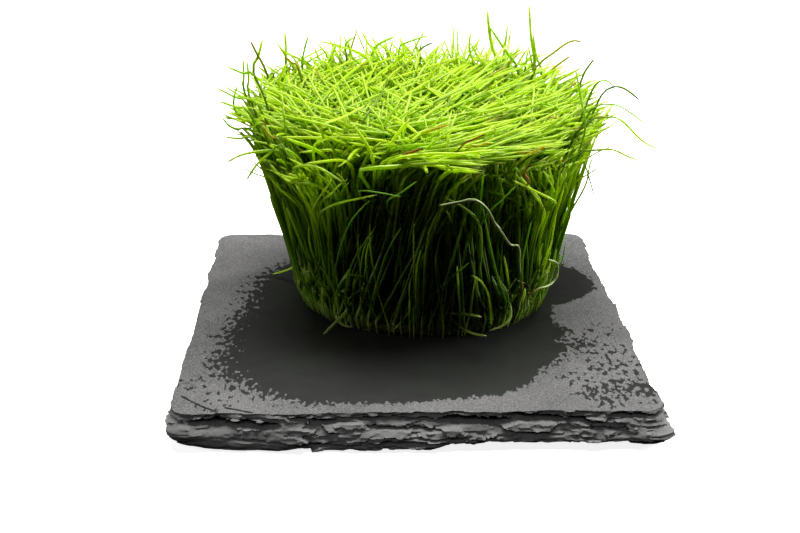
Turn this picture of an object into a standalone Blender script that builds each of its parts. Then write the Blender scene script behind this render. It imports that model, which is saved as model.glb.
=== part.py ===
"""Dwarf hairgrass: a round plug of upright grass, as it comes out of its growing cup,
standing on a square of riven slate.

The grass is built as tufts. Each tuft is a bundle at its foot and separates into single
blades towards its tips. All of them follow one field of growing directions, so neighbours
lean together and never meet.

Units are metres. The origin is the middle of the slate's underside, +Z is up, and -Y is the
front, where the slate's edge is chipped most and a bare runner climbs over the grass.
"""
import math
import random

import bmesh
import bpy
from mathutils import Vector, noise

MM = 0.001
GAP = 0.35 * MM                    # air between pieces that touch

# Slate
SLATE_SIDE = 100.0 * MM
SLATE_THICKNESS = 7.0 * MM
SLATE_CORNER_RADIUS = 6.0 * MM
SLATE_LAYERS = 5
SLATE_POINTS_PER_SIDE = 17
SLATE_SPREAD = 2.0 * MM            # the lowest layer reaches this much further out
SLATE_CHIP = 1.6 * MM
SLATE_BREAK_SHARE = 0.45           # share of the edge's points at which a new chip starts
SLATE_RAGGED = 0.25 * MM
SLATE_TOP_CHIP_SHARE = 0.4         # the top layer is chipped less
SLATE_DRAW_IN = 0.3 * MM           # each layer is a little narrower at its top
SLATE_WAVER = 0.6 * MM             # unevenness of the layers' heights
SLATE_SEED = 4

# Plug
PLUG_CENTRE = (4.0 * MM, 13.0 * MM)
PLUG_RADIUS = 31.5 * MM
PLUG_RIBS = 30
ROOT_MAT_HEIGHT = 3.2 * MM
ROOT_MAT_RADIUS = 31.1 * MM
ROOT_MAT_POINTS = 48
ROOT_MAT_LUMP = 0.6 * MM
ROOT_MAT_SECTION = ((0.0, -2.0), (0.35, 0.0), (0.75, 0.2), (1.0, -0.8))  # height share, millimetres out
ROOT_MAT_SEED = 5
TUFT_COUNT = 37
TUFT_SEED = 11
BUNDLE_HEIGHT = 25.0 * MM          # where a tuft separates into blades
BUNDLE_LEVELS = 3
SHORTEST_BLADE = 40.0 * MM         # along the blade, from the root mat
LONGEST_BLADE = 56.0 * MM
RIB_DEPTH = 1.2 * MM               # outermost blades stand proud of the plug's side
BLADE_THINNING = (0.62, 0.5, 0.34)  # a blade's section at its levels, as shares of its foot's
STRAY_THINNING = (0.62, 0.42, 0.22)

# Growing directions, as slopes against the vertical
CUP_FLARE = 0.21                   # the cup that the plug grew in was wider at its mouth
FRONT_HOLLOW = 0.16                # the front leans out less below the canopy
CANOPY_SPREAD = 0.24
CANOPY_SWEEP = 1.0                 # the front of the canopy is combed round to the right
CANOPY_BOW = 0.35                  # and bows down
SHOULDER_HEIGHT = 26.0 * MM
CANOPY_HEIGHT = 46.0 * MM
WAVE_SLOPE = 0.12
WAVE_LENGTH = 28.0 * MM
WAVE_SEED = 1795644222             # vector noise is seeded by the clock unless it is set
FLOW_STEP = 1.0 * MM

FOOT_HEIGHT = SLATE_THICKNESS + GAP + ROOT_MAT_HEIGHT + GAP

COLOURS = {
    "slate": ((0.055, 0.055, 0.053, 1.0), 0.6),
    "roots": ((0.35, 0.30, 0.12, 1.0), 0.7),
    "runner": ((0.45, 0.42, 0.18, 1.0), 0.5),
    "grass": ((0.22, 0.42, 0.03, 1.0), 0.45),
}

# Tips of the blades that stray out of the canopy, from the slate's middle, in millimetres
STRAY_TIPS = (
    (22, 52, 69.5), (32.5, 50.5, 72), (17, 42, 65), (45, 38, 63.5), (-38, 36.5, 64.5),
    (-30.5, 46.5, 64), (-11, 41.5, 65.5), (7, 48.5, 64.5), (-45, 4, 60), (-42, -4, 56),
    (-38.5, -17, 52), (52, -2, 58), (52.5, -8, 54.5), (55, -8, 49), (49.5, -14, 48),
)

# The bare runners, by their angle round the plug in degrees, their height up its side and
# their distance out from it, both in millimetres. Each starts at its foot.
RUNNER_FRONT = (
    (-50.5, 1.2, 1.1), (-50.0, 4.0, 1.0), (-49.6, 7.2, 1.0), (-51.3, 9.5, 1.2), (-53.2, 14.0, 1.2),
    (-55.5, 18.3, 1.3), (-59.6, 19.4, 1.3), (-64.4, 23.2, 1.2), (-68.3, 26.5, 1.2),
    (-72.3, 30.7, 1.3), (-77.7, 34.0, 1.5), (-82.1, 34.0, 1.8), (-87.7, 33.4, 2.2),
)
RUNNER_SIDE = (
    (-45.0, 1.2, 1.1), (-45.0, 3.8, 1.2), (-41.0, 5.2, 1.9), (-36.0, 4.9, 2.4), (-31.0, 5.3, 2.7),
    (-29.0, 7.4, 2.7), (-30.5, 9.8, 2.3), (-36.0, 11.6, 1.6),
)
RUNNER_RADIUS = 0.35 * MM


def clear_scene():
    for thing in list(bpy.data.objects):
        bpy.data.objects.remove(thing, do_unlink=True)


def make_material(name):
    colour, roughness = COLOURS[name]
    material = bpy.data.materials.get(name) or bpy.data.materials.new(name)
    material.use_nodes = True
    shader = material.node_tree.nodes["Principled BSDF"]
    shader.inputs["Base Color"].default_value = colour
    shader.inputs["Roughness"].default_value = roughness
    shader.inputs["Metallic"].default_value = 0.0
    material.diffuse_color = colour
    return material


def add_object(name, bm, material_name):
    """Turn a bmesh into a named object with its own material."""
    mesh = bpy.data.meshes.new(name)
    bm.to_mesh(mesh)
    bm.free()
    mesh.materials.append(make_material(material_name))
    thing = bpy.data.objects.new(name, mesh)
    bpy.context.scene.collection.objects.link(thing)
    return thing


def smooth_step(low, high, value):
    t = min(max((value - low) / (high - low), 0.0), 1.0)
    return t * t * (3.0 - 2.0 * t)


def bridge(bm, lower, upper):
    """Join two closed loops of vertices with the same number of points."""
    count = len(lower)
    for i in range(count):
        j = (i + 1) % count
        bm.faces.new((lower[i], lower[j], upper[j], upper[i]))


def growing_direction(x, y, height):
    """Which way the grass grows at a point, measured from the plug's foot."""
    reach = math.hypot(x, y)
    outward = Vector((x, y, 0.0)) / max(reach, 1e-6)
    around = Vector((-outward.y, outward.x, 0.0))
    side = min(reach / PLUG_RADIUS, 1.3)
    front = smooth_step(0.0, 0.9, -outward.y) * min(side, 1.0)
    canopy = smooth_step(SHOULDER_HEIGHT, CANOPY_HEIGHT, height)
    lean = CUP_FLARE * side
    lean += (FRONT_HOLLOW * front) * (2.0 * smooth_step(0.3, 1.0, height / SHOULDER_HEIGHT) - 1.0)
    lean += CANOPY_SPREAD * canopy * side
    sweep = CANOPY_SWEEP * canopy * front
    place = Vector((x, y, height * 0.5)) / WAVE_LENGTH
    wave = noise.noise_vector(place) * WAVE_SLOPE * (0.4 + 0.6 * canopy)
    up = 1.0 - CANOPY_BOW * canopy * front
    return (outward * lean + around * sweep + Vector((wave.x, wave.y, up))).normalized()


def grow(x, y, length):
    """Follow the growing directions from a point on the plug's foot."""
    place = Vector((x, y, 0.0))
    left = length
    while left > 1e-9:
        step = min(FLOW_STEP, left)
        half = place + growing_direction(*place) * step * 0.5
        place = place + growing_direction(*half) * step
        left -= step
    return place + Vector((PLUG_CENTRE[0], PLUG_CENTRE[1], FOOT_HEIGHT))


def tuft_centres():
    """Evenly spread places over a disc, along the sunflower's spiral."""
    golden_angle = math.pi * (3.0 - math.sqrt(5.0))
    centres = []
    for i in range(TUFT_COUNT):
        reach = PLUG_RADIUS * math.sqrt((i + 0.5) / TUFT_COUNT)
        centres.append((reach * math.cos(i * golden_angle), reach * math.sin(i * golden_angle)))
    return centres


def plug_outline():
    """The plug's foot: a circle with ribs where the outermost blades stand proud."""
    outline = []
    for i in range(2 * PLUG_RIBS):
        angle = math.pi * i / PLUG_RIBS
        reach = PLUG_RADIUS - (RIB_DEPTH if i % 2 else 0.0)
        outline.append((reach * math.cos(angle), reach * math.sin(angle)))
    return outline


def clip_outline(outline, point, normal):
    """The part of an outline that lies behind a line."""
    kept = []
    for a, b in zip(outline, outline[1:] + outline[:1]):
        side_a = (a[0] - point[0]) * normal[0] + (a[1] - point[1]) * normal[1]
        side_b = (b[0] - point[0]) * normal[0] + (b[1] - point[1]) * normal[1]
        if side_a <= 0.0:
            kept.append(a)
        if side_a * side_b < 0.0:
            t = side_a / (side_a - side_b)
            kept.append((a[0] + (b[0] - a[0]) * t, a[1] + (b[1] - a[1]) * t))
    return kept


def drop_short_edges(outline, shortest):
    """Join neighbouring points that lie closer than the shortest edge."""
    points = list(outline)
    i = 0
    while i < len(points) and len(points) > 4:
        a = points[i]
        b = points[(i + 1) % len(points)]
        if math.dist(a, b) < shortest:
            points[i] = ((a[0] + b[0]) / 2.0, (a[1] + b[1]) / 2.0)
            del points[(i + 1) % len(points)]
            i = 0
        else:
            i += 1
    return points


def split_long_edges(outline, wanted):
    """Halve the longest edges until the outline has the wanted number of points."""
    points = list(outline)
    while len(points) < wanted:
        lengths = [math.dist(a, b) for a, b in zip(points, points[1:] + points[:1])]
        i = lengths.index(max(lengths))
        a = points[i]
        b = points[(i + 1) % len(points)]
        points.insert(i + 1, ((a[0] + b[0]) / 2.0, (a[1] + b[1]) / 2.0))
    return points


def tuft_outline(index, centres):
    """The share of the plug's foot that is nearer to one tuft than to any other."""
    outline = plug_outline()
    here = centres[index]
    for other in centres:
        apart = math.dist(here, other)
        if apart == 0.0:
            continue
        normal = ((other[0] - here[0]) / apart, (other[1] - here[1]) / apart)
        reach = apart / 2.0 - GAP / 2.0
        edge = (here[0] + normal[0] * reach, here[1] + normal[1] * reach)
        outline = clip_outline(outline, edge, normal)
    outline = drop_short_edges(outline, shortest=2.0 * MM)
    return split_long_edges(outline, wanted=7)


def middle_of(outline):
    """The balance point of an outline's area."""
    area = 0.0
    x = 0.0
    y = 0.0
    for a, b in zip(outline, outline[1:] + outline[:1]):
        share = a[0] * b[1] - b[0] * a[1]
        area += share
        x += (a[0] + b[0]) * share / 3.0
        y += (a[1] + b[1]) * share / 3.0
    return (x / area, y / area)


def plan_tuft(index, centres):
    """A tuft's outline, its middle and the core and length of each of its blades."""
    rng = random.Random(TUFT_SEED * 1000 + index)
    outline = tuft_outline(index, centres)
    middle = middle_of(outline)
    blades = []
    for a, b in zip(outline, outline[1:] + outline[:1]):
        core = ((a[0] + b[0] + middle[0]) / 3.0, (a[1] + b[1] + middle[1]) / 3.0)
        length = rng.uniform(SHORTEST_BLADE, LONGEST_BLADE)
        blades.append({"sector": (a, b, middle), "core": core, "length": length, "tip": None})
    return {"outline": outline, "middle": middle, "blades": blades}


def assign_stray_tips(tufts):
    """Give each stray tip to the blade that naturally ends nearest to it."""
    free = [blade for tuft in tufts for blade in tuft["blades"]]
    ends = [grow(*blade["core"], LONGEST_BLADE) for blade in free]
    for tip in STRAY_TIPS:
        target = Vector(tip) * MM
        nearest = min(range(len(free)), key=lambda i: (ends[i] - target).length)
        ends.pop(nearest)
        blade = free.pop(nearest)
        blade["tip"] = target
        blade["length"] = LONGEST_BLADE


def add_blade(bm, foot, blade):
    """One three-sided blade, from a sector of the bundle's top up to its tip."""
    core = blade["core"]
    length = blade["length"]
    natural_tip = grow(*core, length)
    tip = blade["tip"] or natural_tip
    thinning = STRAY_THINNING if blade["tip"] else BLADE_THINNING
    below = foot
    for level, keep in enumerate(thinning):
        share = (level + 0.6) / (len(thinning) + 0.4)
        height = BUNDLE_HEIGHT + (length - BUNDLE_HEIGHT) * share
        bend = (tip - natural_tip) * share * share
        ring = []
        for point in blade["sector"]:
            x = core[0] + (point[0] - core[0]) * keep
            y = core[1] + (point[1] - core[1]) * keep
            ring.append(bm.verts.new(grow(x, y, height) + bend))
        bridge(bm, below, ring)
        below = ring
    end = bm.verts.new(tip)
    for i in range(3):
        bm.faces.new((below[i], below[(i + 1) % 3], end))


def build_tuft(name, tuft):
    outline = tuft["outline"]
    bm = bmesh.new()
    rings = []
    for level in range(BUNDLE_LEVELS + 1):
        height = BUNDLE_HEIGHT * level / BUNDLE_LEVELS
        rings.append([bm.verts.new(grow(x, y, height)) for x, y in outline])
    bm.faces.new(list(reversed(rings[0])))
    for lower, upper in zip(rings, rings[1:]):
        bridge(bm, lower, upper)
    top = rings[-1]
    crown = bm.verts.new(grow(*tuft["middle"], BUNDLE_HEIGHT))
    for i, blade in enumerate(tuft["blades"]):
        add_blade(bm, [top[i], top[(i + 1) % len(top)], crown], blade)
    return add_object(name, bm, "grass")


def build_tufts():
    centres = tuft_centres()
    tufts = [plan_tuft(index, centres) for index in range(TUFT_COUNT)]
    assign_stray_tips(tufts)
    for index, tuft in enumerate(tufts):
        build_tuft(f"tuft_{index + 1:02d}", tuft)


def smooth_route(points, samples):
    """A smooth curve through a list of points, as a closer list of points."""
    ends = [points[0] * 2.0 - points[1]] + list(points) + [points[-1] * 2.0 - points[-2]]
    route = []
    for a, b, c, d in zip(ends, ends[1:], ends[2:], ends[3:]):
        for i in range(samples):
            t = i / samples
            route.append(0.5 * (2.0 * b + (c - a) * t + (2.0 * a - 5.0 * b + 4.0 * c - d) * t * t
                                + (3.0 * b - a - 3.0 * c + d) * t ** 3))
    route.append(points[-1])
    return route


def build_runner(name, places):
    """A thin round stem that follows the plug's side."""
    points = []
    for angle, height, apart in places:
        reach = PLUG_RADIUS + apart * MM
        turn = math.radians(angle)
        points.append(grow(reach * math.cos(turn), reach * math.sin(turn), height * MM))
    route = smooth_route(points, samples=2)
    curve = bpy.data.curves.new(name, "CURVE")
    curve.dimensions = "3D"
    curve.bevel_depth = RUNNER_RADIUS
    curve.bevel_resolution = 1
    curve.use_fill_caps = True
    spline = curve.splines.new("POLY")
    spline.points.add(len(route) - 1)
    for spot, place in zip(spline.points, route):
        spot.co = (*place, 1.0)
    curve.materials.append(make_material("runner"))
    thing = bpy.data.objects.new(name, curve)
    bpy.context.scene.collection.objects.link(thing)
    return thing


def build_root_mat():
    """A felted disc whose rim is lumpy with crowns and roots."""
    rng = random.Random(ROOT_MAT_SEED)
    lumps = [rng.uniform(-ROOT_MAT_LUMP, ROOT_MAT_LUMP) for _ in range(ROOT_MAT_POINTS)]
    bm = bmesh.new()
    rings = []
    for share, reach_out in ROOT_MAT_SECTION:
        ring = []
        for i in range(ROOT_MAT_POINTS):
            angle = 2.0 * math.pi * i / ROOT_MAT_POINTS
            reach = ROOT_MAT_RADIUS + reach_out * MM + lumps[i]
            x = PLUG_CENTRE[0] + reach * math.cos(angle)
            y = PLUG_CENTRE[1] + reach * math.sin(angle)
            ring.append(bm.verts.new((x, y, SLATE_THICKNESS + GAP + ROOT_MAT_HEIGHT * share)))
        rings.append(ring)
    bm.faces.new(list(reversed(rings[0])))
    for lower, upper in zip(rings, rings[1:]):
        bridge(bm, lower, upper)
    bm.faces.new(rings[-1])
    return add_object("root_mat", bm, "roots")


def slate_outline():
    """Points round the slate's square, each with the direction that faces outwards there."""
    rng = random.Random(SLATE_SEED)
    half = SLATE_SIDE / 2.0
    straight = half - SLATE_CORNER_RADIUS
    points = []
    for side in range(4):
        turn = math.pi / 2.0 * side
        along = Vector((math.cos(turn), math.sin(turn)))
        out = Vector((math.sin(turn), -math.cos(turn)))
        for i in range(SLATE_POINTS_PER_SIDE):
            t = (i + rng.uniform(-0.3, 0.3)) / (SLATE_POINTS_PER_SIDE - 1.0)
            t = min(max(t, 0.0), 1.0)
            points.append((along * straight * (2.0 * t - 1.0) + out * half, out.copy()))
        corner = along * straight + out * straight
        for angle in (math.pi / 6.0, math.pi / 3.0):
            facing = out * math.cos(angle) + along * math.sin(angle)
            points.append((corner + facing * SLATE_CORNER_RADIUS, facing))
    return points


def broken_edge(rng, count, depth):
    """How far one layer of slate reaches out at each point of its outline."""
    offsets = []
    reach = 0.0
    for _ in range(count):
        if rng.random() < SLATE_BREAK_SHARE:
            reach = rng.uniform(-SLATE_CHIP, 0.75 * SLATE_CHIP)
        offsets.append(reach + SLATE_SPREAD * depth + rng.uniform(-SLATE_RAGGED, SLATE_RAGGED))
    return offsets


def build_slate():
    """Layers that each broke a little further in or out, so the edge is a stack of ledges."""
    rng = random.Random(SLATE_SEED + 1)
    outline = slate_outline()
    count = len(outline)
    bm = bmesh.new()
    rings = []
    thickness = SLATE_THICKNESS / SLATE_LAYERS
    for layer in range(SLATE_LAYERS):
        depth = 1.0 - layer / (SLATE_LAYERS - 1.0)
        offsets = broken_edge(rng, count, depth)
        if layer == SLATE_LAYERS - 1:
            offsets = [SLATE_TOP_CHIP_SHARE * value for value in offsets]
        for share, draw_in in ((0.08, 0.0), (0.92, SLATE_DRAW_IN)):
            level = (layer + share) * thickness
            if layer == 0 and share < 0.5:
                level = 0.0
            if layer == SLATE_LAYERS - 1 and share > 0.5:
                level = SLATE_THICKNESS
            ring = []
            for i, ((place, facing), offset) in enumerate(zip(outline, offsets)):
                spot = place + facing * (offset - draw_in)
                waver = noise.noise(Vector((i * 0.3, (layer + round(share)) * 5.0, 2.0))) * SLATE_WAVER
                if level in (0.0, SLATE_THICKNESS):
                    waver = 0.0
                ring.append(bm.verts.new((spot.x, spot.y, level + waver)))
            rings.append(ring)
    bm.faces.new(list(reversed(rings[0])))
    for lower, upper in zip(rings, rings[1:]):
        bridge(bm, lower, upper)
    bm.faces.new(rings[-1])
    return add_object("slate_slab", bm, "slate")


def main():
    clear_scene()
    noise.seed_set(WAVE_SEED)
    build_slate()
    build_root_mat()
    build_tufts()
    build_runner("runner_front", RUNNER_FRONT)
    build_runner("runner_side", RUNNER_SIDE)


main()
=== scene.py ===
"""Looks of the dwarf hairgrass plug: every blade of grass, its crowns and roots, the bare runners
and the riven, partly damp slate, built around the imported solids.

Lengths are metres, in the frame of the solids: +Z is up, -Y is the front.
"""

import math
import random

import bmesh
import bpy
import numpy as np
from mathutils import Matrix, Vector, noise


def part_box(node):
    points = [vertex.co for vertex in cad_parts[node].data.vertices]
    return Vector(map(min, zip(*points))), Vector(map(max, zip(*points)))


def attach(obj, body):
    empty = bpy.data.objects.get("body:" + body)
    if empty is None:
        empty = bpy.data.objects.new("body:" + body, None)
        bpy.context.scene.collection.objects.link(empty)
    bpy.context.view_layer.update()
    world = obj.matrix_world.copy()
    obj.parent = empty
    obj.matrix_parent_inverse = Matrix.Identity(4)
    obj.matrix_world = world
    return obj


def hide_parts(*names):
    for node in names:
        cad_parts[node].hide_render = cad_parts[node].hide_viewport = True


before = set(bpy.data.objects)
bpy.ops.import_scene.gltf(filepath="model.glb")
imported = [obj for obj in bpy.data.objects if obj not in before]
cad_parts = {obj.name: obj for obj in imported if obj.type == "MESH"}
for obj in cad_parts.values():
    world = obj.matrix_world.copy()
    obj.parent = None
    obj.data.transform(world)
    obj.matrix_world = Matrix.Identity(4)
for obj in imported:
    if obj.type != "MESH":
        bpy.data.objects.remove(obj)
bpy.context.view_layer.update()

MM = 0.001
GAP = 0.35 * MM

# Places and sizes that the solids give
SLATE_LOW, SLATE_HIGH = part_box("slate_slab")
ROOTS_LOW, ROOTS_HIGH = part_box("root_mat")
SLATE_TOP = SLATE_HIGH.z
FACE_LEVEL = SLATE_TOP - 0.1 * MM    # the middle of the upper face's low waves
BROKEN_LEVEL = SLATE_TOP - 0.3 * MM  # below it the slate shows its broken layers, painted paler: partly the paler fresh break, partly painted light
PLUG_CENTRE = Vector((4.0 * MM, 13.0 * MM))
PLUG_RADIUS = 31.5 * MM
FOOT_HEIGHT = ROOTS_HIGH.z + GAP

# Slate
SLATE_SIDE = 100.0 * MM
SLATE_CORNER = 3.5 * MM
SLATE_AROUND = 960                  # points round the slate's edge
SLATE_EDGE_RINGS = 34               # rings of points in the height of its edge
SLATE_TOP_RINGS = 56                # rings of the upper face, from the edge to the middle
SLATE_LEDGE = 3.2 * MM              # how far the foot of the front edge stands out
SIDE_LEDGE = 0.9 * MM               # and that of the other edges
LEFT_FOOT_CUT = 3.8 * MM            # how much of the lowest layers is gone at the front left corner
RIGHT_FOOT_REACH = 1.8 * MM         # how much further they stand out at the front right corner
FRONT_UNDERCUT = 2.8 * MM           # how far they stand back at the right half of the front
SIDE_GAP_DEPTH = 2.2 * MM           # of the gaps in the other edges
LARGE_CHIP = (7.0 * MM, 1.5 * MM)   # length along the edge and thickness
SMALL_CHIP = (2.2 * MM, 0.55 * MM)

# Gaps between the layers along the front edge: from and to across the front, height at both
# ends, thickness and depth, in millimetres
SLATE_GAPS = (
    (-47.0, -27.0, 5.3, 4.6, 1.7, 4.0), (-27.5, -15.0, 6.1, 5.2, 1.1, 2.5),
    (-15.0, 4.5, 5.9, 5.3, 0.5, 2.2), (-12.0, 6.0, 4.4, 3.6, 0.6, 2.0),
    (-10.0, 9.0, 2.6, 2.2, 0.4, 1.5), (3.0, 19.5, 5.4, 5.0, 1.9, 4.5),
    (17.0, 38.0, 5.9, 4.7, 1.1, 3.5), (20.0, 31.0, 3.1, 2.5, 0.4, 1.3),
    (37.0, 50.5, 6.2, 5.8, 1.0, 3.5), (33.0, 44.0, 3.7, 3.4, 0.4, 1.4),
    (44.0, 52.0, 4.4, 3.2, 0.3, 1.3), (45.0, 53.0, 2.9, 1.8, 0.3, 1.2),
    (-40.0, -20.0, 2.4, 1.2, 0.3, 0.9), (-24.0, -12.0, 1.2, 0.9, 0.6, 1.6),
)

# Thin cracks in the upper face at its front left corner, which are only painted shadow: dark lines through
# points in millimetres
CRACK_SHADOW_LINES = (
    ((-48.5, -42.5), (-46.4, -44.6), (-43.5, -47.2), (-40.6, -49.2)),
    ((-39.0, -47.6), (-36.3, -48.6), (-33.5, -49.6)),
)
CRACK_SHADOW_WIDTH = 0.45 * MM             # how far the painted shadow reaches to each side of a line

# Growing directions, as in the solids
TUFT_COUNT = 37
CUP_FLARE = 0.21
FRONT_HOLLOW = 0.16
CANOPY_SPREAD = 0.24
CANOPY_SWEEP = 1.0
CANOPY_BOW = 0.35
SHOULDER_HEIGHT = 26.0 * MM
CANOPY_HEIGHT = 46.0 * MM
WAVE_SLOPE = 0.12
WAVE_LENGTH = 28.0 * MM
WAVE_SEED = 1795644222              # vector noise is seeded by the clock unless it is set

# The shape of the dense turf: how far its sides reach from its middle at heights above the crowns
WALL_HEIGHTS = (0.0, 14.0, 28.0, 36.0, 46.0)
WALL_REACHES = (31.5, 35.6, 38.6, 41.5, 44.5)
CEILING_FRONT = 42.0 * MM            # height above the crowns at which the blades lie down
CEILING_BACK = 46.5 * MM
CEILING_WAVES = 2.5 * MM
THICKET_DROP = 5.5 * MM             # how much lower the thicket at the right of the front ends
THICKET_BACK = 6.0 * MM             # and how far it stands back at its top
THICKET_WAY = Vector((0.64, -0.77))  # where it is, seen from the plug's middle
RIGHT_STEEPER = 3.0 * MM            # how far the turf's right side stands back at its top
HOLLOW_DEPTH = 10.5 * MM            # how far the turf's front stands back under its overhanging edge
FLOW_MEETING = 8.0 * MM             # the blades of the front lean together towards this place across it
FLOW_BREADTH = 20.0 * MM
FLOW_LEAN = 0.42
FLOW_BEND = 0.8
LYING_HEIGHT = 33.0 * MM            # the canopy's spread starts above this height
FURTHEST_BACK = 46.5 * MM           # from the plug's middle: no blade of the turf ends further back

# Blades
TURF_BLADES = 2700                  # before they are thinned at the front
YOUNG_BLADES = 170
BLADE_SIDES = 4
BLADE_STEPS = 24
BLADE_RINGS = (0, 1, 5, 9, 12, 14, 16, 17, 18, 19, 20, 21, 22, 23, 24)  # steps with a ring of points
THIN_BLADE = 0.30 * MM              # radius
THICK_BLADE = 0.46 * MM
SHORTEST_BLADE = 40.0 * MM
LONGEST_BLADE = 58.0 * MM
CROWN_DEPTH = 3.3 * MM              # each blade goes on down through the felt of roots
CROWN_TUCK = 1.0 * MM               # and this far inward
FRINGE_RADII = (0.24, 0.36)         # thinnest and thickest, in millimetres
BLADE_SEED = 21

# Long blades that lie over the canopy side by side: how many, the box of their feet (left, right, front
# and back), shortest and longest, heading and its spread in degrees, and how far they lie above the
# turf's ceiling, lowest and highest. Lengths are in millimetres.
LYING_SWATHES = (
    (230, (-30.0, 12.0, -28.0, 8.0), (64.0, 88.0), (51.0, 11.0), (-1.0, 2.5)),
    (130, (-26.0, -4.0, -30.0, -12.0), (50.0, 64.0), (18.0, 14.0), (-2.0, 1.0)),
    (170, (-12.0, 16.0, -24.0, 16.0), (54.0, 74.0), (128.0, 15.0), (-1.0, 2.0)),
)

# Shorter blades whose tips show under the canopy's rim: how many, angles round the plug in degrees,
# reaches as shares of its radius, lengths in millimetres and how steeply they rise at the end
FRINGES = (
    (150, (-75.0, -10.0), (0.7, 1.0), (30.0, 48.0), (0.2, 1.1)),
    (90, (-170.0, -130.0), (0.75, 1.0), (30.0, 46.0), (0.1, 1.0)),
)

# Pale crowns that crowd the foot's rim: how many, and angles round the plug in degrees
CROWN_CROWDS = ((60, (-168.0, -125.0)), (90, (-62.0, -20.0)))

# Where a blade changes colour, as shares of its length
CROWN_FADE = 0.20                   # the pale crown has gone
SHADE_END_MIDDLE = 0.34             # the shaded part ends, in the middle of the turf
SHADE_END_RIM = 0.44                # and at its rim
SHADE_FADE = 0.30
TIP_START = 0.86
TIP_FADE = 0.14

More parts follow.
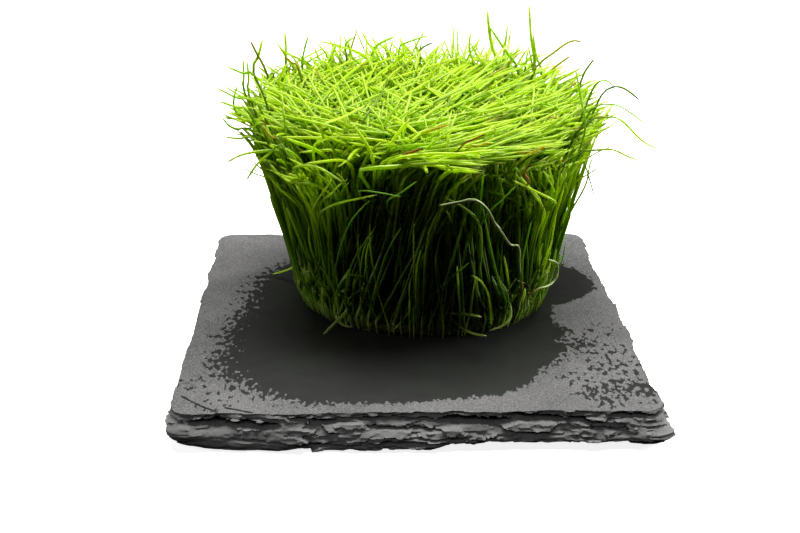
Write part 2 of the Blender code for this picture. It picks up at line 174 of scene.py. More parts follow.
# Blades that stand out, traced in the photograph: colour, radius in millimetres, how far back of the
# slate's middle their lower and upper ends are in millimetres, and their course in picture points
STANDOUT_BLADES = (
    ("orange", 0.40, 30, 30, ((268, 76), (258, 56), (250, 40))),
    ("bright", 0.36, 30, 30, ((254, 78), (258, 58), (263, 38))),
    ("bright", 0.36, 34, 34, ((288, 78), (286, 50), (285, 31))),
    ("bright", 0.32, 32, 32, ((300, 68), (285, 53), (275, 41))),
    ("fresh", 0.42, 36, 36, ((303, 78), (304, 52), (309, 34))),
    ("pale", 0.36, 38, 38, ((325, 78), (330, 60), (338, 42))),
    ("bright", 0.36, 36, 36, ((375, 68), (345, 48), (318, 41))),
    ("fresh", 0.38, 42, 42, ((346, 56), (347, 43), (354, 37))),
    ("bright", 0.36, 38, 38, ((383, 68), (371, 48), (361, 31))),
    ("fresh", 0.40, 42, 42, ((372, 62), (378, 45), (396, 36))),
    ("fresh", 0.40, 42, 42, ((398, 56), (406, 43), (430, 35))),
    ("bright", 0.30, 34, 34, ((416, 72), (404, 56), (389, 41))),
    ("bright", 0.32, 34, 34, ((386, 76), (399, 60), (412, 43))),
    ("olive", 0.40, 44, 44, ((420, 64), (421, 49), (434, 42))),
    ("pale", 0.36, 12, 12, ((246, 98), (244, 78), (243, 57))),
    ("pale", 0.34, 12, 12, ((250, 100), (249, 80), (247, 60))),
    ("fresh", 0.40, 8, 8, ((258, 80), (244, 74), (226, 66))),
    ("fresh", 0.38, 5, 5, ((250, 108), (236, 98), (215, 87))),
    ("pale", 0.34, 2, 2, ((262, 110), (243, 98), (223, 85))),
    ("pale", 0.32, 0, 0, ((252, 116), (238, 108), (218, 101))),
    ("fresh", 0.36, -2, -2, ((256, 132), (240, 130), (229, 126), (222, 117))),
    ("bright", 0.34, -3, -3, ((258, 142), (240, 139), (225, 137))),
    ("pale", 0.42, -6, -8, ((284, 156), (268, 151), (243, 154), (226, 163))),
    ("pale", 0.38, -10, -12, ((286, 146), (272, 152), (257, 164), (246, 181))),
    ("fresh", 0.32, 6, 4, ((256, 128), (240, 118), (233, 104), (238, 83))),
    ("pale", 0.40, -14, -20, ((292, 172), (304, 166), (320, 168), (345, 184))),
    ("bright", 0.38, -8, -15, ((266, 160), (276, 172), (292, 183), (313, 183))),
    ("bright", 0.36, -16, -2, ((318, 132), (342, 118), (366, 105))),
    ("olive", 0.26, -6, 14, ((360, 130), (379, 100), (388, 76))),
    ("pale", 0.40, 2, 24, ((424, 112), (462, 90), (488, 66), (509, 43))),
    ("orange", 0.36, 30, 30, ((530, 76), (550, 56), (570, 41), (582, 42))),
    ("orange", 0.36, 28, 28, ((538, 88), (554, 68), (572, 55))),
    ("bright", 0.34, 30, 30, ((540, 86), (556, 76), (568, 70))),
    ("bright", 0.44, 35, 35, ((499, 78), (491, 44), (487, 8))),
    ("fresh", 0.40, 35, 35, ((520, 80), (506, 52), (489, 26))),
    ("bright", 0.44, 36, 36, ((535, 82), (531, 40), (529, 2))),
    ("pale", 0.42, 36, 36, ((542, 84), (536, 56), (533, 32))),
    ("bright", 0.40, 36, 36, ((475, 76), (469, 50), (471, 31))),
    ("pale", 0.38, 36, 36, ((488, 76), (478, 58), (470, 42))),
    ("fresh", 0.34, 38, 38, ((508, 66), (514, 54), (522, 49))),
    ("fresh", 0.32, 38, 38, ((524, 76), (526, 62), (528, 51))),
    ("fresh", 0.30, -8, -6, ((584, 140), (582, 105), (575, 66))),
    ("olive", 0.34, 20, 20, ((580, 84), (586, 70), (595, 58))),
    ("fresh", 0.28, 6, 6, ((588, 100), (596, 84), (606, 80), (614, 87))),
    ("olive", 0.26, 6, 6, ((596, 104), (610, 88), (624, 88), (642, 102))),
    ("fresh", 0.26, 0, 0, ((584, 116), (606, 105), (622, 107), (648, 126))),
    ("bright", 0.28, -5, -5, ((576, 128), (600, 118), (620, 118), (640, 140), (660, 150))),
    ("bright", 0.30, -8, -8, ((566, 158), (590, 151), (612, 149), (624, 155), (642, 162))),
    ("bright", 0.28, -6, -6, ((570, 150), (598, 134), (621, 119))),
    ("bright", 0.28, -7, -7, ((568, 176), (582, 160), (597, 137))),
    ("olive", 0.22, 0, 0, ((572, 128), (580, 148), (588, 174), (596, 202))),
    ("pale", 0.44, -24, -29, ((352, 172), (392, 167), (440, 163), (479, 164))),
    ("bright", 0.42, -24, -28, ((386, 163), (426, 154), (465, 154))),
    ("bright", 0.42, -22, -27, ((420, 162), (458, 154), (500, 150))),
    ("green", 0.20, -18, -24, ((356, 192), (380, 193), (402, 197))),
    ("green", 0.20, -18, -24, ((386, 204), (398, 195), (417, 181))),
    ("green", 0.26, -18, -22, ((486, 216), (500, 202), (516, 186))),
    ("green", 0.24, -18, -22, ((480, 214), (481, 196), (484, 172))),
    ("green", 0.32, -12, -15, ((336, 300), (341, 282), (352, 275), (368, 278))),
    ("green", 0.30, -15, -19, ((372, 318), (376, 290), (385, 256), (402, 226))),
    ("green", 0.26, -15, -18, ((334, 290), (338, 256), (350, 222), (370, 200))),
    ("green", 0.26, -14, -18, ((344, 300), (350, 268), (362, 246), (374, 230))),
    ("bright", 0.28, -15, -19, ((490, 330), (490, 300), (482, 282), (471, 275))),
    ("green", 0.30, -15, -18, ((508, 308), (498, 280), (489, 240), (482, 204))),
    ("green", 0.24, -15, -18, ((520, 290), (522, 262), (528, 236), (531, 222))),
    ("green", 0.26, -15, -19, ((420, 322), (428, 300), (448, 280), (470, 262))),
    ("green", 0.22, 4, 4, ((548, 270), (556, 272), (563, 258), (565, 243))),
    ("bright", 0.30, 16, 20, ((300, 264), (288, 270), (272, 275))),
    ("crown", 0.40, -16, -19, ((434, 304), (446, 313), (466, 314), (482, 317))),
    ("crown", 0.34, -16, -19, ((450, 314), (457, 325), (471, 333), (487, 336))),
    ("crown", 0.36, -14, -19, ((508, 300), (511, 316), (502, 326), (488, 331))),
    ("crown", 0.36, -11, -15, ((336, 314), (343, 325), (355, 327))),
    ("crown", 0.34, -11, -16, ((354, 306), (340, 318), (323, 335))),
    ("crown", 0.26, -14, -18, ((421, 298), (408, 314), (394, 330))),
    ("crown", 0.24, -8, -10, ((352, 270), (351, 281), (336, 285), (322, 287))),
    ("brown", 0.30, -24, -26, ((402, 158), (412, 152), (424, 148))),
    ("brown", 0.30, -20, -22, ((462, 146), (472, 140), (486, 134))),
    ("orange", 0.30, -20, -22, ((466, 150), (478, 146), (490, 143))),
    ("orange", 0.32, -6, -8, ((262, 128), (268, 134), (276, 139))),
    ("brown", 0.28, -16, -19, ((528, 186), (524, 174), (530, 164))),
    ("orange", 0.26, -16, -20, ((524, 158), (534, 152), (546, 146))),
    ("orange", 0.30, 26, 26, ((300, 72), (293, 64), (286, 57))),
)
STANDOUT_COLOURS = {
    "crown": ((0.560, 0.640, 0.200), (0.560, 0.620, 0.260)),
    "pale": ((0.640, 0.860, 0.060), (0.780, 0.900, 0.300)),
    "bright": ((0.700, 0.900, 0.040), (0.800, 0.920, 0.180)),
    "fresh": ((0.520, 0.800, 0.020), (0.640, 0.840, 0.060)),
    "green": ((0.260, 0.500, 0.010), (0.400, 0.640, 0.030)),
    "olive": ((0.260, 0.420, 0.010), (0.220, 0.320, 0.020)),
    "orange": ((0.560, 0.560, 0.030), (0.640, 0.260, 0.020)),
    "brown": ((0.400, 0.200, 0.030), (0.160, 0.040, 0.010)),
}

# Outline of the damp patch on the slate, in millimetres, and how broad its speckled border is
DAMP_OUTLINE = (
    (-26, 33, 1.0), (-32.4, 28.3, 1.5), (-37.5, 20, 2.2), (-38.8, 11, 2.4), (-39.5, 2.5, 2.6),
    (-41.5, -6, 2.6), (-43, -14, 2.6), (-42.5, -21.6, 2.6), (-44.5, -27.4, 2.2), (-41.5, -33, 2.8),
    (-36.5, -39.3, 3.2), (-29.5, -43.7, 2.2), (-22, -46.2, 0.9), (-4, -46.4, 0.6),
    (9, -44.5, 0.6), (17, -43, 0.6), (23, -39.5, 0.7),
    (29, -30.5, 1.0), (36, -23, 2.0), (35, -18, 1.5), (37, -12, 1.0), (34, -8, 0.5), (35, 1.4, 0.4),
    (39, 2.7, 0.4), (44, 7, 0.4), (47.5, 11, 0.4), (47.8, 17, 0.5), (45, 24, 0.8), (41, 28, 0.6),
    (30, 38, 1.0), (10, 44, 1.5), (-12, 42, 2.0),
)

# Spotted places beside the damp patch, in millimetres: middle, radius and how far inside the patch
# they count as being
DAMP_SPOTS = (
    (44.0, -12.5, 3.5, -1.8), (38.2, -19.3, 1.6, 1.0), (42.5, -24.0, 5.0, -1.2),
    (43.5, -33.0, 6.0, -1.0), (37.0, -41.8, 1.8, 0.6), (42.8, -40.6, 3.0, 0.2),
    (48.0, -41.0, 2.2, 1.0), (38.7, -45.5, 1.5, 0.6), (33.5, -36.5, 2.5, -1.2),
    (49.0, -35.0, 3.0, -0.8), (-47.0, -37.0, 3.5, -1.6), (-41.0, -45.0, 3.0, -1.6),
)
SPOT_BORDER = 2.2

# The bare runners, as in the solids: angle round the plug in degrees, height up its side and
# distance out from it in millimetres
RUNNER_FRONT = (
    (-50.5, 1.2, 1.1), (-50.0, 4.0, 1.0), (-49.6, 7.2, 1.0), (-51.3, 9.5, 1.2), (-53.2, 14.0, 1.2),
    (-55.5, 18.3, 1.3), (-59.6, 19.4, 1.3), (-64.4, 23.2, 1.2), (-68.3, 26.5, 1.2),
    (-72.3, 30.7, 1.3), (-77.7, 34.0, 1.5), (-82.1, 34.0, 1.8), (-87.7, 33.4, 2.2),
)
RUNNER_SIDE = (
    (-45.0, 1.2, 1.1), (-45.0, 3.8, 1.2), (-41.0, 5.2, 1.9), (-36.0, 4.9, 2.4), (-31.0, 5.3, 2.7),
    (-29.0, 7.4, 2.7), (-30.5, 9.8, 2.3), (-36.0, 11.6, 1.6),
)
RUNNER_RADIUS = 0.29 * MM

# Colours, linear
LEAF_SHADED = np.array((0.050, 0.150, 0.003))
LEAF_DEEP = np.array((0.490, 0.740, 0.008))
LEAF_BRIGHT = np.array((0.700, 0.860, 0.030))
LEAF_TIP = np.array((0.660, 0.820, 0.100))
CROWN_PALE = np.array((0.560, 0.660, 0.220))
# painted light: a lighter green for the lower blades at the turf's left side
FOOT_GREEN_PAINTED_LIGHT = np.array((0.340, 0.560, 0.025))
RUNNER_PALE = np.array((0.190, 0.220, 0.070))
RUNNER_GREEN = np.array((0.260, 0.360, 0.060))
DEAD_ORANGE = np.array((0.500, 0.180, 0.020))
DEAD_BROWN = np.array((0.090, 0.035, 0.012))

# Camera, fitted to the photograph
CAMERA_TARGET = Vector((-2.31, -4.93, 20.0)) * MM
CAMERA_DISTANCE = 273.27 * MM
CAMERA_ELEVATION = math.radians(22.57)
CAMERA_AZIMUTH = math.radians(-2.33)
CAMERA_ROLL = math.radians(0.67)
CAMERA_LENS = 52.9
CAMERA_SENSOR = 36.0
PICTURE_WIDTH = 800.0
PICTURE_HEIGHT = 533.0

# Lights: place, what they face, breadth and height in metres, and watts
OVERHEAD_LIGHT = ((0.02, 0.13, 0.50), (0.0, 0.01, 0.04), (0.5, 0.18), 9.0)
RIGHT_LIGHT = ((0.55, 0.16, 0.13), (0.02, 0.01, 0.03), (0.2, 0.2), 5.5)
LEFT_LIGHT = ((-0.55, 0.04, 0.10), (-0.02, 0.01, 0.03), (0.2, 0.2), 1.2)
SLATE_EDGE_LIGHT = ((-0.08, -0.42, 0.42), (0.0, -0.05, 0.0), (0.5, 0.2), 1.0)  # on the slate alone
WORLD_GLOW = 0.006


def smooth_step(low, high, value):
    t = min(max((value - low) / (high - low), 0.0), 1.0)
    return t * t * (3.0 - 2.0 * t)


def mix(a, b, share):
    return a + (b - a) * share


# Node helpers

def new_material(name):
    """An empty node tree for a material, with its output node."""
    material = bpy.data.materials.new(name)
    material.use_nodes = True
    material.node_tree.nodes.clear()
    return material, material.node_tree


def add_node(tree, kind, settings=None, inputs=None):
    """A node with its properties set, and its inputs set to values or linked to sockets."""
    node = tree.nodes.new(kind)
    for name, value in (settings or {}).items():
        setattr(node, name, value)
    for name, value in (inputs or {}).items():
        if isinstance(value, bpy.types.NodeSocket):
            tree.links.new(value, node.inputs[name])
        else:
            node.inputs[name].default_value = value
    return node


def add_noise(tree, coordinates, size, detail=3.0, roughness=0.55):
    """Noise whose features are about this large, in metres."""
    inputs = {"Vector": coordinates, "Scale": 1.0 / size, "Detail": detail, "Roughness": roughness}
    return add_node(tree, "ShaderNodeTexNoise", inputs=inputs).outputs["Fac"]


def add_math(tree, operation, a, b=0.0):
    return add_node(tree, "ShaderNodeMath", {"operation": operation}, {0: a, 1: b}).outputs[0]


def add_range(tree, value, low, high, to_low=0.0, to_high=1.0):
    inputs = {"Value": value, "From Min": low, "From Max": high, "To Min": to_low, "To Max": to_high}
    settings = {"interpolation_type": "SMOOTHSTEP", "clamp": True}
    return add_node(tree, "ShaderNodeMapRange", settings, inputs).outputs["Result"]


def add_mix(tree, share, a, b, blend="MIX"):
    settings = {"data_type": "RGBA", "blend_type": blend}
    node = add_node(tree, "ShaderNodeMix", settings, {0: share, 6: a, 7: b})
    return node.outputs[2]


def grey(value, warmth=0.0):
    return (value * (1.0 + warmth), value, value * (1.0 - warmth), 1.0)


# Materials

def add_line_distance(tree, place, start, end):
    """How far the surface is, seen from above, from a line between two points in millimetres."""
    run = Vector((end[0] - start[0], end[1] - start[1], 0.0)) * MM
    offset = add_node(tree, "ShaderNodeVectorMath", {"operation": "MULTIPLY_ADD"},
                      {0: place, 1: (1.0, 1.0, 0.0), 2: (-start[0] * MM, -start[1] * MM, 0.0)}).outputs[0]
    along = add_node(tree, "ShaderNodeVectorMath", {"operation": "DOT_PRODUCT"},
                     {0: offset, 1: run / run.length_squared}).outputs["Value"]
    share = add_node(tree, "ShaderNodeClamp", None, {"Value": along}).outputs[0]
    nearest = add_node(tree, "ShaderNodeVectorMath", {"operation": "SCALE"}, {0: run, "Scale": share})
    return add_node(tree, "ShaderNodeVectorMath", {"operation": "DISTANCE"},
                    {0: offset, 1: nearest.outputs[0]}).outputs["Value"]


def slate_material():
    """Riven slate: pale and matt where dry, nearly black where damp, with a speckled border; its broken
    edges are painted paler, partly for the fresh break and partly as painted light, and its thin cracks are
    painted shadow.
    """
    material, tree = new_material("riven_slate")
    place = add_node(tree, "ShaderNodeTexCoord").outputs["Object"]
    grain = add_noise(tree, place, 0.35 * MM, 5.0, 0.65)
    cloud = add_noise(tree, place, 16.0 * MM, 4.0)
    dry = add_mix(tree, add_range(tree, cloud, 0.35, 0.68), grey(0.041, 0.01), grey(0.066, 0.015))
    dry = add_mix(tree, add_range(tree, grain, 0.40, 0.72, 0.0, 0.5), dry, grey(0.19, 0.02))
    dry = add_mix(tree, add_range(tree, grain, 0.46, 0.26, 0.0, 0.6), dry, grey(0.035))
    height = add_node(tree, "ShaderNodeSeparateXYZ", None, {0: place}).outputs["Z"]
    # Paler below the upper face: partly the paler fresh break of the layers, partly painted light on the
    # edge's faces
    broken = add_range(tree, height, BROKEN_LEVEL, SLATE_TOP - 0.8 * MM, 0.0, 0.5)
    dry = add_mix(tree, broken, dry, grey(0.15, 0.015))
    damp_cloud = add_range(tree, cloud, 0.35, 0.65)
    damp = add_mix(tree, damp_cloud, (0.008, 0.008, 0.007, 1.0), (0.011, 0.012, 0.010, 1.0))
    inside = add_node(tree, "ShaderNodeAttribute", {"attribute_name": "damp"}).outputs["Fac"]
    border = add_node(tree, "ShaderNodeAttribute", {"attribute_name": "border"}).outputs["Fac"]
    drawn_out = add_node(tree, "ShaderNodeVectorMath", {"operation": "MULTIPLY"},
                         {0: place, 1: (1.0, 0.6, 1.0)}).outputs[0]
    blotch = add_noise(tree, drawn_out, 1.15 * MM, 2.0, 0.5)
    wander = add_math(tree, "MULTIPLY", add_math(tree, "SUBTRACT", blotch, 0.5), 10.0)
    edge = add_math(tree, "ADD", inside, add_math(tree, "MULTIPLY", wander, border))
    wet = add_range(tree, edge, -0.15, 0.25)
    colour = add_mix(tree, wet, dry, damp)
    # Painted shadow of the thin cracks: near-black lines on the upper face only, with no dent in its shape
    apart = 1.0
    for crack in CRACK_SHADOW_LINES:
        for start, end in zip(crack, crack[1:]):
            apart = add_math(tree, "MINIMUM", apart, add_line_distance(tree, place, start, end))
    ragged = add_math(tree, "MULTIPLY", add_math(tree, "SUBTRACT", blotch, 0.45), 1.6 * CRACK_SHADOW_WIDTH)
    below = add_math(tree, "SUBTRACT", BROKEN_LEVEL, height)
    apart = add_math(tree, "MAXIMUM", add_math(tree, "ADD", apart, ragged), below)
    colour = add_mix(tree, add_range(tree, apart, CRACK_SHADOW_WIDTH, 0.4 * CRACK_SHADOW_WIDTH), colour, grey(0.004))
    roughness = add_range(tree, wet, 0.0, 1.0, 0.85, 0.45)
    relief = add_math(tree, "ADD", grain, add_math(tree, "MULTIPLY", cloud, 2.0))
    strength = add_range(tree, wet, 0.0, 1.0, 0.5, 0.16)
    bump = add_node(tree, "ShaderNodeBump", None,
                    {"Height": relief, "Strength": strength, "Distance": 0.15 * MM})
    shader = add_node(tree, "ShaderNodeBsdfPrincipled", None,
                      {"Base Color": colour, "Roughness": roughness, "Specular IOR Level": 0.15,
                       "Normal": bump.outputs[0]})
    add_node(tree, "ShaderNodeOutputMaterial", None, {"Surface": shader.outputs[0]})
    return material


def plant_material(name, clear, roughness, streak):
    """Living tissue: its colour is on the points, with fine streaks, and some light goes through."""
    material, tree = new_material(name)
    place = add_node(tree, "ShaderNodeTexCoord").outputs["Object"]
    tint = add_node(tree, "ShaderNodeAttribute", {"attribute_name": "tint"}).outputs["Color"]
    fine = add_noise(tree, place, streak, 3.0, 0.6)
    colour = add_mix(tree, add_range(tree, fine, 0.30, 0.70, 0.0, 0.30), tint, (0.12, 0.25, 0.0, 1.0))
    bump = add_node(tree, "ShaderNodeBump", None,
                    {"Height": fine, "Strength": 0.25, "Distance": 0.05 * MM})
    shader = add_node(tree, "ShaderNodeBsdfPrincipled", None,
                      {"Base Color": colour, "Roughness": roughness, "Normal": bump.outputs[0]})
    surface = shader.outputs[0]
    if clear:
        through = add_node(tree, "ShaderNodeBsdfTranslucent", None, {"Color": colour})
        both = add_node(tree, "ShaderNodeMixShader", None,
                        {0: clear, 1: surface, 2: through.outputs[0]})
        surface = both.outputs[0]
    add_node(tree, "ShaderNodeOutputMaterial", None, {"Surface": surface})
    return material


def floor_material():
    material, tree = new_material("pale_floor")
    shader = add_node(tree, "ShaderNodeBsdfPrincipled", None,
                      {"Base Color": (0.82, 0.82, 0.82, 1.0), "Roughness": 0.9,
                       "Emission Color": (1.0, 1.0, 1.0, 1.0), "Emission Strength": 0.86})
    add_node(tree, "ShaderNodeOutputMaterial", None, {"Surface": shader.outputs[0]})
    return material


def add_piece(name, mesh, material, slot, *nodes):
    """A finished piece: it rides on the one body, stands for its solids and has its finish."""
    mesh.materials.append(material)
    mesh.polygons.foreach_set("use_smooth", [True] * len(mesh.polygons))
    piece = bpy.data.objects.new(name, mesh)
    bpy.context.scene.collection.objects.link(piece)
    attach(piece, "root")
    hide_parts(*nodes)
    return piece


def side_faces(rings, around):
    """The faces between rings of points that follow each other, all with as many points."""
    faces = []
    for ring in range(rings - 1):
        low = ring * around
        for i in range(around):
            after = (i + 1) % around
            faces.append((low + i, low + after, low + around + after, low + around + i))
    return faces


def fan_faces(low, around, tip):
    """The faces between a ring of points, which starts at low, and one point."""
    return [(low + i, low + (i + 1) % around, tip) for i in range(around)]


def paint(mesh, colours):
    """Give each point of a mesh its colour."""
    colours = np.asarray(colours, dtype=np.float32).reshape(-1, 3)
    colours = np.concatenate((colours, np.ones_like(colours[:, :1])), 1)
    tint = mesh.color_attributes.new("tint", "FLOAT_COLOR", "POINT")
    tint.data.foreach_set("color", colours.ravel())


# Slate

def slate_edge_points():
    """Evenly spaced points round a square with round corners, with the direction facing out."""
    half = SLATE_SIDE / 2.0
    straight = 2.0 * (half - SLATE_CORNER)
    arc = SLATE_CORNER * math.pi / 2.0
    step = 4.0 * (straight + arc) / SLATE_AROUND
    points = []
    for i in range(SLATE_AROUND):
        side, run = divmod(i * step, straight + arc)
        turn = math.pi / 2.0 * side
        along = Vector((math.cos(turn), math.sin(turn)))
        out = Vector((math.sin(turn), -math.cos(turn)))
        if run < straight:
            points.append((out * half + along * (run - straight / 2.0), out))
        else:
            angle = (run - straight) / SLATE_CORNER
            facing = out * math.cos(angle) + along * math.sin(angle)
            corner = (out + along) * (half - SLATE_CORNER)
            points.append((corner + facing * SLATE_CORNER, facing))
    return points


def edge_noise(place, size, layer):
    return noise.noise(Vector((place.x / size, place.y / size, layer)))


def nearness(place, x, y, size):
    """How near a place is to a point in millimetres, from 0 to 1."""
    return math.exp(-((place - Vector((x, y)) * MM).length / (size * MM)) ** 2)


def chip(place, height, length, thickness):
    """Where the slate's broken edge lies at a place, from about -1 to 1: a patchwork of chips, each
    with its own flat, tilted face."""
    spot = Vector((place.x / length, place.y / length, height / thickness))
    core = noise.voronoi(spot)[1][0]
    pick = noise.cell_vector(core * 17.3) * 2.0 - Vector((1.0, 1.0, 1.0))
    apart = spot - core
    return 0.7 * pick.x + 0.7 * pick.y * apart.z + 0.7 * pick.z * (apart.x + apart.y)


def gap_depth(place, height):
    """How deep the gaps between the layers of the front edge are at a place."""
    depth = 0.0
    for left, right, left_height, right_height, thickness, deep in SLATE_GAPS:
        across = place.x / MM
        if not left < across < right:
            continue
        middle = mix(left_height, right_height, (across - left) / (right - left))
        middle += edge_noise(place, 3.5 * MM, left) * 0.35
        ends = smooth_step(left, left + 4.0, across) * smooth_step(right, right - 4.0, across)
        ragged = 0.75 + 0.6 * edge_noise(place, 1.8 * MM, left)
        half = 0.5 * thickness * (0.3 + 0.7 * ends) * ragged
        open_here = smooth_step(half + 0.12, half - 0.12, abs(height / MM - middle))
        depth = max(depth, deep * MM * ends * open_here)
    return depth


def edge_reach(place, facing, height):
    """How far the slate's edge reaches out of its square at a height."""
    level = height / SLATE_TOP
    front = smooth_step(0.2, 0.8, -facing.y)
    corner = math.exp(-((place.x / MM + 50.0) / 9.0) ** 2) * front
    left_foot = nearness(place, -50.0, -50.0, 8.0)
    right_foot = nearness(place, 50.0, -50.0, 6.0)
    near_left = nearness(place, -50.0, -44.0, 9.0)
    lip = smooth_step(0.90, 0.98, level)
    ledge = mix(SIDE_LEDGE, SLATE_LEDGE, max(front, near_left)) * smooth_step(1.0, 0.12, level)
    ledge += corner * 1.2 * MM * smooth_step(0.85, 0.5, level)
    ledge -= 0.4 * MM * smooth_step(0.14, 0.0, level)
    ledge -= LEFT_FOOT_CUT * left_foot * smooth_step(0.60, 0.02, level)
    ledge += RIGHT_FOOT_REACH * right_foot * smooth_step(0.9, 0.2, level)
    ledge -= FRONT_UNDERCUT * front * smooth_step(2.0, 9.0, place.x / MM) * smooth_step(0.30, 0.0, level)
    wear = edge_noise(place, 16.0 * MM, 2.0) * 0.9 * MM + edge_noise(place, 5.0 * MM, 5.0) * 0.45 * MM
    wear *= mix(1.0, 0.45, smooth_step(0.2, 0.8, -facing.x))
    even = 1.0 - 0.7 * smooth_step(-22.0, -30.0, place.x / MM) * front * smooth_step(0.62, 0.50, level)
    even *= mix(1.0, 0.6, smooth_step(0.2, 0.8, -facing.x))
    chips = chip(place, height, *LARGE_CHIP) * mix(0.9, 0.45, lip) * MM * even
    chips += chip(place, height + 0.1, *SMALL_CHIP) * mix(0.38, 0.2, lip) * MM * even
    if front > 0.5:
        return ledge + wear + chips - gap_depth(place, height)
    slot = edge_noise(place, 20.0 * MM, level * 7.0 + 30.0)
    deep = smooth_step(0.10, 0.25, slot) * smooth_step(0.15, 0.35, level) * smooth_step(0.95, 0.85, level)
    return ledge + wear + chips - deep * SIDE_GAP_DEPTH


def distance_to_line(x, y, start, end):
    """How far a point is from a line between two points, and where along it that is, from 0 to 1."""
    run = (end[0] - start[0], end[1] - start[1])
    share = ((x - start[0]) * run[0] + (y - start[1]) * run[1]) / (run[0] ** 2 + run[1] ** 2)
    share = min(max(share, 0.0), 1.0)
    return math.hypot(x - start[0] - run[0] * share, y - start[1] - run[1] * share), share


def face_relief(x, y):
    """The upper face's low waves."""
    relief = noise.noise(Vector((x, y, 0.0)) / (18.0 * MM)) * 0.12
    relief += noise.noise(Vector((x, y, 3.0)) / (4.0 * MM)) * 0.05
    return relief * MM


def slate_rings():
    """The slate's rings of points, from the underside up its broken edge to the middle on top."""
    edge = slate_edge_points()
    rings = []
    for index in range(SLATE_EDGE_RINGS):
        height = SLATE_TOP * index / (SLATE_EDGE_RINGS - 1.0)
        ring = []
        for place, facing in edge:
            spot = place + facing * edge_reach(place, facing, height)
            ring.append((spot.x, spot.y, height))
        rings.append(ring)
    rim = rings.pop()
    for index in range(SLATE_TOP_RINGS):
        inward = 1.0 - ((index + 0.1) / SLATE_TOP_RINGS) ** 1.4
        ring = []
        for x, y, _ in rim:
            x *= inward
            y *= inward
            ring.append((x, y, FACE_LEVEL + face_relief(x, y)))
        rings.append(ring)
    return rings


def damp_values(x, y, outline):
    """Distance into the damp patch, in millimetres, and the breadth of its border there."""
    inside = False
    nearest = 1e9
    border = 1.0
    for a, b in zip(outline, outline[1:] + outline[:1]):
        apart, share = distance_to_line(x, y, a, b)
        if apart < nearest:
            nearest = apart
            border = mix(a[2], b[2], share)
        if (a[1] > y) != (b[1] > y) and x < a[0] + (b[0] - a[0]) * (y - a[1]) / (b[1] - a[1]):
            inside = not inside
    depth = nearest if inside else -nearest
    for spot_x, spot_y, radius, level in DAMP_SPOTS:
        beyond = math.hypot(x - spot_x, y - spot_y) - radius
        if level - max(beyond, 0.0) > depth:
            depth = level - max(beyond, 0.0)
            border = SPOT_BORDER
    return depth, border


def build_slate():
    rings = slate_rings()
    points = [point for ring in rings for point in ring]
    points.append((0.0, 0.0, FACE_LEVEL))
    faces = [tuple(range(SLATE_AROUND))[::-1]]
    faces += side_faces(len(rings), SLATE_AROUND)
    faces += fan_faces((len(rings) - 1) * SLATE_AROUND, SLATE_AROUND, len(points) - 1)
    mesh = bpy.data.meshes.new("slate")
    mesh.from_pydata(points, [], faces)
    damp = mesh.attributes.new("damp", "FLOAT", "POINT")
    border = mesh.attributes.new("border", "FLOAT", "POINT")
    pairs = [damp_values(x / MM, y / MM, DAMP_OUTLINE) for x, y, _ in points]
    damp.data.foreach_set("value", [pair[0] for pair in pairs])
    border.data.foreach_set("value", [pair[1] for pair in pairs])
    piece = add_piece("slate", mesh, slate_material(), "slate", "slate_slab")
    mesh.set_sharp_from_angle(angle=math.radians(35.0))
    return piece


# Grass

def growing_direction(x, y, height, shoulder=SHOULDER_HEIGHT):
    """Which way the grass grows at a point, measured from the plug's foot, as in the solids."""
    reach = math.hypot(x, y)
    outward = Vector((x, y, 0.0)) / max(reach, 1e-6)
    around = Vector((-outward.y, outward.x, 0.0))
    side = min(reach / PLUG_RADIUS, 1.3)
    front = smooth_step(0.0, 0.9, -outward.y) * min(side, 1.0)
    canopy = smooth_step(shoulder, CANOPY_HEIGHT, height)
    lean = CUP_FLARE * side
    lean += (FRONT_HOLLOW * front) * (2.0 * smooth_step(0.3, 1.0, height / SHOULDER_HEIGHT) - 1.0)
    lean += CANOPY_SPREAD * canopy * side
    sweep = CANOPY_SWEEP * canopy * front
    place = Vector((x, y, height * 0.5)) / WAVE_LENGTH
    wave = noise.noise_vector(place) * WAVE_SLOPE * (0.4 + 0.6 * canopy)
    up = 1.0 - CANOPY_BOW * canopy * front
    return (outward * lean + around * sweep + Vector((wave.x, wave.y, up))).normalized()


def tuft_centres():
    """The middles of the tufts' feet, as in the solids."""
    golden_angle = math.pi * (3.0 - math.sqrt(5.0))
    centres = []
    for i in range(TUFT_COUNT):
        reach = PLUG_RADIUS * math.sqrt((i + 0.5) / TUFT_COUNT)
        centres.append((reach * math.cos(i * golden_angle), reach * math.sin(i * golden_angle)))
    return centres


def wall_reach(place):
    """How far the dense turf reaches from its middle in the direction of a place, at its height.
    The front stands back in a hollow."""
    height = place.z / MM
    reach = float(np.interp(height, WALL_HEIGHTS, WALL_REACHES)) * MM
    front = smooth_step(0.55, 0.95, -place.y / max(math.hypot(place.x, place.y), 1e-6))
    hollow = smooth_step(2.0, 16.0, height) * smooth_step(41.0, 36.0, height)
    right = smooth_step(0.3, 0.9, place.x / max(math.hypot(place.x, place.y), 1e-6))
    steeper = RIGHT_STEEPER * right * smooth_step(14.0, 36.0, height)
    thicket = smooth_step(0.80, 0.97, place.xy.normalized().dot(THICKET_WAY))
    steeper += THICKET_BACK * thicket * smooth_step(22.0, 38.0, height)
    return reach - HOLLOW_DEPTH * front * hollow - steeper


def ceiling(place):
    """Height above the crowns at which the blades lie down, front to back."""
    level = mix(CEILING_FRONT, CEILING_BACK, smooth_step(-38.0 * MM, 20.0 * MM, place.y))
    thicket = smooth_step(6.0 * MM, 20.0 * MM, place.x) * smooth_step(-6.0 * MM, -20.0 * MM, place.y)
    level -= THICKET_DROP * thicket
    return level + noise.noise(Vector((place.x, place.y, 0.0)) / (15.0 * MM)) * CEILING_WAVES


